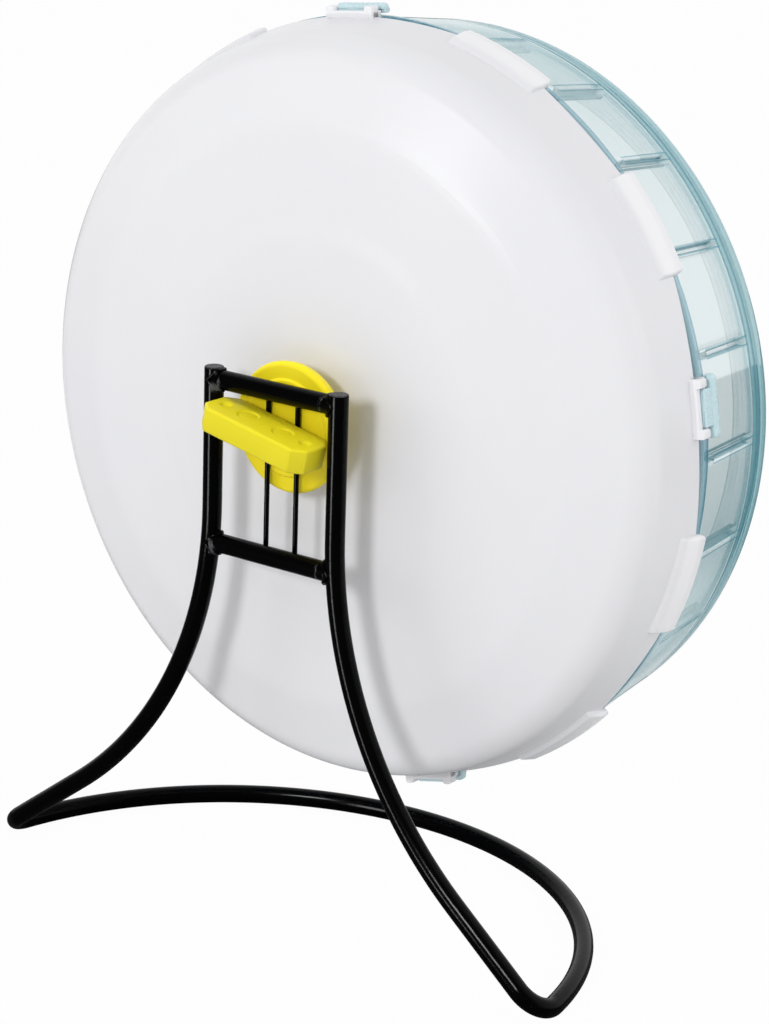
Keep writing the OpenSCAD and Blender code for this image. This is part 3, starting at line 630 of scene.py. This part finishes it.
def clamp_grip():
    """The clamp's bar: rings of its cut-cornered outline, from the middle of the underside, round a soft
    edge, up the side and back to the middle of the top.

    The top sinks by 1.1 mm inside the two outer dimples, and by 0.45 mm inside a pair of wide shallow
    rounds, each with a narrow groove 0.3 mm deeper round it, and a fine raised seam crosses its middle."""
    half, low, high = 4.75, -16.53, 3.47
    end, cut = 25, 4.5
    corners = [
        (-end, low + cut, 1.2), (cut - end, low, 1.2), (end - cut, low, 1.2), (end, low + cut, 1.2),
        (end, high - cut, 1.2), (end - cut, high, 1.2), (cut - end, high, 1.2), (-end, high - cut, 1.2),
    ]
    rings = cushion(outline(corners, 0.7), -half, half, 1.1)
    middle, body, top = rings[:1], rings[1:-1], rings[-1:]
    share = np.linspace(0, 1, 70, endpoint=False)[1:, None, None] ** 0.8
    lower = middle * (1 - share) + body[:1] * share
    upper = body[-1:] * share[::-1] + top * (1 - share[::-1])
    rings = np.concatenate([middle, lower, body, upper, top])
    x, depth, height = rings[..., 0], rings[..., 1], rings[..., 2]
    on_top = smooth(height, half - 0.3, half - 0.02)
    off_middle = depth - (low + high) / 2
    from_dimple = np.hypot(abs(x) - 19.3, off_middle)
    from_round = np.hypot(abs(x) - 8.4, off_middle)
    sink = 1.1 * (1 - smooth(from_dimple, 1.3, 2.7)) + 0.45 * (1 - smooth(from_round, 3.4, 4.1))
    sink += 0.3 * np.exp(-(((from_round - 3.8) / 0.45) ** 2)) - 0.1 * np.exp(-((x / 0.3) ** 2))
    bar_tilt = math.radians(11.4)
    grid = turned(x, height - sink * on_top, depth, -bar_tilt)
    piece("clamp_grip", [(grid, False, True)], "clamp", ["clamp_bar"], "yellow_plastic")


def shell_profile():
    """The shell's section as (radius, depth): flat middle, faint step, gentle cone, round shoulder and
    flared skirt behind, the same a wall's thickness in front, and the hub with its bearing seat."""
    wall, shoulder_r, shoulder_depth = 2.4, 14.0, 44.2
    middle, step, cone = (69.5, 22), (76.5, 22.8), (112, 25)
    tangent_depth = shoulder_depth - shoulder_r * math.sin(SKIRT_TILT)
    tangent_r = RIM_R - (RIM_DEPTH - tangent_depth) * FLARE
    centre = np.array([tangent_r - shoulder_r * math.cos(SKIRT_TILT), shoulder_depth])
    reach = np.array(cone) - centre
    tilt = -(math.atan2(reach[1], reach[0]) + math.acos(shoulder_r / np.linalg.norm(reach)))

    def shoulder(radius, start, end):
        a = np.linspace(start, end, 17)
        return np.stack([centre[0] + radius * np.cos(a), centre[1] - radius * np.sin(a), 0 * a], axis=-1)

    def face(added):
        return [(r, depth + added, radius) for (r, depth), radius in ((middle, 30), (step, 30), (cone, 40))]

    hole, seat, groove, hub = 9.5, 11.03, 12.03, 17
    seat_back, groove_back, groove_front, hub_front = 28, 35.07, 36.33, 46.6
    corners = [(hole, 22, 0.4), *face(0), *shoulder(shoulder_r, tilt, SKIRT_TILT)]
    corners += [(RIM_R, RIM_DEPTH, 0.45), (RIM_R - wall / math.cos(SKIRT_TILT), RIM_DEPTH, 0.45)]
    corners += [*shoulder(shoulder_r - wall, SKIRT_TILT, tilt), *face(wall)[::-1]]
    corners += [(hub, 22 + wall, 1.5), (hub, hub_front, 0.8), (seat, hub_front, 0.3)]
    corners += [(seat, groove_front, 0), (groove, groove_front, 0), (groove, groove_back, 0)]
    corners += [(seat, groove_back, 0), (seat, seat_back, 0), (hole, seat_back, 0)]
    return outline(corners, 5)


def rim_hollow(angle):
    """How far the rim's edge lies back at an angle. A hollow is the cut of a drum lying across the rim, of
    the radius (c^2 + d^2) / 2d for a depth d and a chord of 2c: a deep one at each latch, a shallow one
    between."""
    deep, deep_half, shallow = 3.0, math.radians(18.4), 1.0
    turns = np.radians(list(LATCH_TURNS.values()))
    following = np.append(turns[1:], turns[0] + TURN)
    hollow = np.zeros_like(angle)
    half_steps = (following - turns) / 2
    tab_end = math.radians(TAB_OFFSET + TAB_HALF)
    hollows = [(turn, deep, deep_half) for turn in turns]
    hollows += [(turn + step, shallow, step - tab_end) for turn, step in zip(turns, half_steps)]
    for turn, depth, half in hollows:
        chord = RIM_R * math.sin(half)
        drum = (chord**2 + depth**2) / (2 * depth)
        across = RIM_R * np.sin(angle - turn)
        cut = depth - drum + np.sqrt(np.maximum(drum**2 - across**2, 0))
        hollow = np.maximum(hollow, np.where(np.cos(angle - turn) > 0, cut, 0))
    return hollow


def shell_body():
    """The shell's profile carried round the axle, its skirt's edge drawn back along the flare by the
    hollows, and eight webs from the hub outward inside."""
    profile = shell_profile()
    angle = np.linspace(0, TURN, 400, endpoint=False)[:, None]
    radius, depth = np.broadcast_arrays(profile[None, :, 0], profile[None, :, 1])
    drawn = rim_hollow(angle) * smooth(depth, 46, RIM_DEPTH) * (radius > 100)
    grid = turned(0, np.broadcast_to(radius, drawn.shape) - drawn * FLARE, depth - drawn, angle)
    grids = [(grid, True, True)]
    web = outline([(16, 23.9, 0), (58, 23.9, 0), (58, 26.8, 1.2), (16, 42.6, 1.0)], 2)
    rings = cushion(web, -1, 1, 0.5)
    for n in range(8):
        grids.append((turned(rings[..., 2], rings[..., 0], rings[..., 1], n * TURN / 8), False, True))
    piece("shell_body", grids, "wheel", ["back_shell"], "white_plastic")


def rim_tabs():
    """The eight raised tabs: a section of (radius, depth) carried along an arc, and drawn down into the rim
    at both ends by sqrt(1 - u^2), where u goes from 0 to 1 over the last 1.7 mm."""
    behind_rim, soft_run, sunk = 7.5, 1.7, 0.9
    rear = RIM_DEPTH - behind_rim
    at_rear = RIM_R - behind_rim * FLARE
    section = outline(
        [
            (at_rear - 1.2, rear - 0.6, 0), (at_rear - 0.1, rear - 0.6, 0.4),
            (at_rear + 1.9, rear + 0.5, 1.6), (149.9, 62, 6), (150.0, 66.2, 0.8),
            (148.0, 66.2, 0.4), (148.0, 61.9, 0), (146.6, 61.9, 0),
        ],
        0.8,
    )
    in_rim = np.minimum(section[:, 1], RIM_DEPTH - 0.5)
    root = np.stack([RIM_R - sunk - (RIM_DEPTH - in_rim) * FLARE, in_rim], axis=-1)
    soft = math.degrees(soft_run / RIM_R)
    end = TAB_HALF - soft + soft * np.sin(np.linspace(0, math.pi / 2, 9))
    along = np.concatenate([-end[::-1], np.linspace(-TAB_HALF + soft, TAB_HALF - soft, 15)[1:-1], end])
    u = np.clip((abs(along) - TAB_HALF + soft) / soft, 0, 1)
    rise = np.sqrt(1 - u**2)[:, None, None]
    rings = root[None] * (1 - rise) + section[None] * rise
    grids = []
    for turn in LATCH_TURNS.values():
        for side in (-TAB_OFFSET, TAB_OFFSET):
            angle = np.radians(turn + side + along)[:, None]
            grids.append((turned(0, rings[..., 0], rings[..., 1], angle), False, True))
    piece("rim_tabs", grids, "wheel", ["back_shell"], "white_plastic")


def block(width, low, high, start, end, corner, edge, shift=0.0):
    """Rings of a block: a face of that width between two radii, its two outer corners rounded, pushed along
    the axle between two depths, with soft edges."""
    half = width / 2
    face = outline([(half, low, 0.2), (half, high, corner), (-half, high, corner), (-half, low, 0.2)], 2.0)
    rings = cushion(face, start, end, edge)
    rings[..., 0] += shift
    return rings


def placed(rings, turn):
    """A piece's grid out of a block's rings, turned by degrees from up towards +X."""
    return turned(rings[..., 0], rings[..., 1], rings[..., 2], math.radians(turn)), False, True


def latch_posts():
    """At each latch two posts, high behind and low in front, a bridge between them and a catch bar."""
    foot, post_x = 144.0, 9.1
    shapes = []
    for shift in (-post_x, post_x):
        shapes.append(block(3.6, foot, 151.0, 56.0, 60.5, 1.0, 0.35, shift))
        shapes.append(block(3.6, foot, 149.0, 57.0, 62.2, 0.5, 0.25, shift))
    shapes.append(block(15.6, foot, 149.2, 56.0, 58.4, 0.4, 0.25))
    shapes.append(block(15.6, foot, 149.0, 60.8, 62.2, 0.4, 0.2))
    grids = [placed(rings, turn) for turn in LATCH_TURNS.values() for rings in shapes]
    piece("latch_posts", grids, "wheel", ["back_shell"], "white_plastic")


def latch_tongue(place):
    """A snap tongue: the thin tongue, the hook under its end, and the rounded head that joins it to the
    ring."""
    shapes = [
        block(13.8, 149.3, 151.0, 58.8, 64.0, 0.7, 0.3),
        block(13.8, 148.0, 149.8, 58.8, 60.5, 0.2, 0.15),
        block(23.0, 147.8, 151.5, 62.9, 66.8, 1.7, 1.1),
    ]
    grids = [placed(rings, LATCH_TURNS[place]) for rings in shapes]
    body, replaced = f"{place}_latch", [f"latch_clip_{place}"]
    made = piece(f"{place}_latch_tongue", grids, body, replaced, "clear_blue_plastic")
    dress(made, MATERIALS["frosted_blue_plastic"])


def band_radius(depth):
    """Outer radius of the ring's band, which narrows from its bead towards the front."""
    return BAND_R - (depth - BAND_DEPTH) * math.tan(BAND_TILT)


def track_ring():
    """The ring's closed section carried round the axle: spigot, bead, grooved band, folded front edge and
    rolled lip. Each of its ribs pushes the inner wall inward, and a slot from outside follows it, both with
    soft sides."""
    slot_deep, ridge_high, groove_deep, on_wall = 3.8, 2.6, 0.7, 0.05
    edge_depth, edge_r, fold_wall = 113.0, 6.2, 2.2
    edge_middle = band_radius(edge_depth) - edge_r
    slot_from, slot_to = (71.1, 71.9), (102.4, 103.1)
    ridge_from, ridge_to = (70.2, 72.4), (105.6, 106.0)

    def front(radius, start, end):
        a = np.linspace(start, end, 10)
        r, depth = edge_middle + radius * np.cos(a), edge_depth + radius * np.sin(a)
        return np.stack([r, depth, 0 * a], axis=-1)

    lip_r, lip_depth, lip_middle = 1.8, 118.1, 127
    lip = math.asin(fold_wall / 2 / lip_r)
    roll = np.linspace(lip, TURN - lip, 13)
    rolled = [lip_middle + lip_r * np.cos(roll), lip_depth + lip_r * np.sin(roll), 0 * roll]
    rolled = np.stack(rolled, axis=-1)
    outside = [(band_radius(d), d, 0) for d in (70.6, *slot_from, 72.6, 101.8, *slot_to, 103.6)]
    inside_depths = (106.6, *ridge_to[::-1], 105.0, 73.2, 72.4, 71.2, 70.2, 69.6)
    inside = [(band_radius(d) - BAND_WALL, d, 0) for d in inside_depths]
    grooves = []
    for d in (104.0, 107.6, 110.4):
        floor_r = band_radius(d) - groove_deep
        grooves += [(band_radius(d), d, 0.15), (floor_r, d + 0.35, 0.15)]
        grooves += [(floor_r, d + 0.85, 0.15), (band_radius(d + 1.2), d + 1.2, 0.15)]
    corners = [(142.87, 52, 0.4), (145.08, 62.4, 0), (147.5, 62.4, 0.3), (147.5, BAND_DEPTH, 0.3)]
    corners += [(BAND_R, BAND_DEPTH, 0.2), *outside, *grooves]
    corners += [*front(edge_r, BAND_TILT, math.pi / 2), *rolled]
    corners += [*front(edge_r - fold_wall, math.pi / 2, BAND_TILT), *inside]
    corners += [(144.5, BAND_DEPTH, 0.5), (140.67, 52, 0.4)]
    profile = outline(corners, 4.5)
    near = np.array([0.25, 0.31, 0.38, 0.60, 0.68, 0.76])
    offset = np.concatenate([-near[::-1], near, np.linspace(1.6, 13.4, 7)])
    turns = (np.arange(RIB_COUNT)[:, None] * RIB_PITCH + offset).reshape(-1, 1)
    off_rib = abs((turns + RIB_PITCH / 2) % RIB_PITCH - RIB_PITCH / 2)
    radius, depth = profile[None, :, 0], profile[None, :, 1]
    outer = abs(radius - band_radius(depth)) < on_wall
    inner = abs(radius - band_radius(depth) + BAND_WALL) < on_wall
    slot = (1 - smooth(off_rib, 0.27, 0.36)) * smooth(depth, *slot_from)
    slot = slot * (1 - smooth(depth, *slot_to))
    ridge = (1 - smooth(off_rib, RIB_HALF, 0.74)) * smooth(depth, *ridge_from)
    ridge = ridge * (1 - smooth(depth, *ridge_to))
    moved = radius - slot_deep * slot * outer - ridge_high * ridge * inner
    grid = turned(0, moved, depth, np.radians(FIRST_RIB + turns))
    piece("clear_track_ring", [(grid, True, True)], "wheel", ["track_ring"], "clear_blue_plastic")


def hub_cover():
    """The cap over the hub: a turned profile from the axis over its dome and round its spigot."""
    corners = [
        (0, 48, 0), (9.6, 48, 0.5), (9.6, 44.6, 0.2), (10.98, 44.6, 0.2), (10.98, 46.6, 0), (19, 46.6, 0.4),
        (19, 48.2, 0.7), (16.3, 49.63, 4), (11.4, 50.44, 6), (5.7, 50.72, 8), (0, 50.8, 0),
    ]
    grid = revolved(outline(corners, 1.2, closed=False), 144)
    piece("hub_cover", [(grid, True, False)], "wheel", ["hub_cap"], "yellow_plastic")


stand_rod()
crossbar("top_crossbar_rod", "top_crossbar", TOP_BAR_Z)
crossbar("bottom_crossbar_rod", "bottom_crossbar", BOTTOM_BAR_Z)
welds()
cage_wire("left_wire", "left_cage_wire", WIRE_X)
cage_wire("right_wire", "right_cage_wire", -WIRE_X)
clamp_disc()
clamp_grip()
shell_body()
rim_tabs()
latch_posts()
track_ring()
for latch in LATCH_TURNS:
    latch_tongue(latch)
hub_cover()


def place_camera():
    """A camera at the photograph's viewing angle: it stands behind the wheel, a little above the axle."""
    azimuth, elevation, roll = (math.radians(v) for v in (217.16, 16.87, 1.84))
    stand_at = Vector(mm(-697.6, 851.65, 500.04)) + Vector((0, STAND_Y, 0))
    back = Vector(
        (
            math.sin(azimuth) * math.cos(elevation),
            -math.cos(azimuth) * math.cos(elevation),
            math.sin(elevation),
        )
    )
    right = Vector((math.cos(azimuth), math.sin(azimuth), 0))
    up = back.cross(right)
    turned_right = right * math.cos(roll) + up * math.sin(roll)
    turned_up = up * math.cos(roll) - right * math.sin(roll)
    data = bpy.data.cameras.new("camera")
    data.sensor_fit = "VERTICAL"
    data.sensor_height = 24.0
    data.lens = 72.41
    data.clip_end = 20.0
    camera = bpy.data.objects.new("camera", data)
    camera.matrix_world = Matrix.Translation(stand_at) @ (
        Matrix((turned_right, turned_up, back)).transposed().to_4x4()
    )
    bpy.context.scene.collection.objects.link(camera)
    bpy.context.scene.camera = camera


def soft_light(name, place, aim, size, power, seen_by="all", lit=()):
    """A rectangular lamp of that size and power, turned towards aim. It can work in reflections only or not
    at all in them, and light only the pieces named in lit."""
    data = bpy.data.lights.new(name, "AREA")
    data.shape = "RECTANGLE"
    data.size, data.size_y = size
    data.energy = power
    lamp = bpy.data.objects.new(name, data)
    lamp.location = place
    lamp.rotation_euler = (Vector(aim) - Vector(place)).to_track_quat("-Z", "Y").to_euler()
    lamp.visible_camera = False
    lamp.visible_transmission = False
    lamp.visible_glossy = seen_by != "diffuse"
    lamp.visible_diffuse = seen_by != "glossy"
    if lit:
        receivers = bpy.data.collections.new(name + "_receivers")
        for piece_name in lit:
            receivers.objects.link(bpy.data.objects[piece_name])
        lamp.light_linking.receiver_collection = receivers
    bpy.context.scene.collection.objects.link(lamp)


def light_scene():
    """A white surround that is dimmer behind the camera and to its right, a key lamp there, wide weak lamps
    at both sides, one on the clamp from above, and panels that show only as highlights on the shell and
    rods."""
    centre = (0, 0, 0.19)
    clamp = ("clamp_grip", "clamp_disc")
    crossbars = ("top_crossbar_rod", "bottom_crossbar_rod")
    rods = ("bent_stand_rod", *crossbars, "left_wire", "right_wire", "weld_seams")
    soft_light("key_light", (-0.32, 2.04, 0.98), centre, (0.38, 0.38), 16.4, "diffuse")
    soft_light("wheel_side_light", (-1.55, -0.1, 1.15), centre, (1.1, 1.1), 6.5, "diffuse")
    soft_light("left_light", (1.5, 1.3, 0.7), centre, (1.0, 1.0), 6, "diffuse")
    soft_light("clamp_light", (0.05, 0.45, 1.5), centre, (0.4, 0.4), 7, "diffuse", clamp)
    shoulder = (-0.05, 0.03, 0.28)
    soft_light("shell_panel", (0.17, 0.5, 0.36), shoulder, (0.12, 0.2), 0.25, "glossy", ("shell_body",))
    soft_light("low_rod_panel", (0.12, 0.52, 0.1), (0, 0.05, 0.19), (0.12, 0.26), 2.1, "glossy", rods)
    soft_light("high_rod_panel", (-0.3, 1.6, 1.2), centre, (0.4, 0.4), 24, "glossy", rods)
    world = bpy.data.worlds.new("surround")
    bpy.context.scene.world = world
    world.use_nodes = True
    tree = world.node_tree
    path = tree.nodes.new("ShaderNodeLightPath")
    around = tree.nodes.new("ShaderNodeTexCoord").outputs["Generated"]
    split = tree.nodes.new("ShaderNodeSeparateXYZ")
    tree.links.new(around, split.inputs[0])

    def ranged(value, low, high, at_low, at_high):
        """Goes from at_low to at_high as value goes from low to high."""
        made = tree.nodes.new("ShaderNodeMapRange")
        for key, given in zip((1, 2, 3, 4), (low, high, at_low, at_high)):
            if isinstance(given, bpy.types.NodeSocket):
                tree.links.new(given, made.inputs[key])
            else:
                made.inputs[key].default_value = given
        tree.links.new(value, made.inputs[0])
        return made.outputs[0]

    mirrored = ranged(split.outputs[1], -0.35, 0.25, 1.0, 0.14)
    sideways = ranged(split.outputs[0], -0.7, 0.5, 0.38, 0.60)
    ambient = ranged(split.outputs[1], -0.5, 0.4, 0.74, sideways)
    soft = ranged(path.outputs["Is Glossy Ray"], 0, 1, ambient, mirrored)
    clear = ranged(path.outputs["Is Transmission Ray"], 0, 1, soft, 1.0)
    seen = ranged(path.outputs["Is Camera Ray"], 0, 1, clear, 1.0)
    background = tree.nodes["Background"]
    background.inputs["Color"].default_value = (1, 1, 1, 1)
    tree.links.new(seen, background.inputs["Strength"])


def lay_floor():
    """A wide pale floor that keeps a trace of the object's shadow. Mirrored in the object it is dark, but
    for a pale band ahead of it."""
    half = 4.0
    mesh = bpy.data.meshes.new("floor")
    corners = [(-half, -half, 0), (half, -half, 0), (half, half, 0), (-half, half, 0)]
    mesh.from_pydata(corners, [], [(0, 1, 2, 3)])
    floor = bpy.data.objects.new("floor", mesh)
    bpy.context.scene.collection.objects.link(floor)
    paint = Paint("floor_white")
    white, grey, dark = ((v, v, v, 1) for v in (1, 0.8, 0.12))
    glow = paint.node("ShaderNodeEmission", None, {"Color": white, "Strength": 1.0}).outputs[0]
    path = paint.node("ShaderNodeLightPath")
    seen = Value(paint, path.outputs["Is Camera Ray"])
    ahead = paint.axes()[1] * -1
    mirrored = paint.blend(ahead.between(0.05, 0.15, 0.25, 0.4), dark, white)
    tone = paint.blend(path.outputs["Is Glossy Ray"], grey, mirrored)
    lit = paint.shader(Base_Color=tone, Roughness=0.9)
    dress(floor, paint.finish(paint.mix(seen * 0.97, lit, glow)))


place_camera()
light_scene()
lay_floor()
bpy.context.scene.view_settings.view_transform = "Standard"
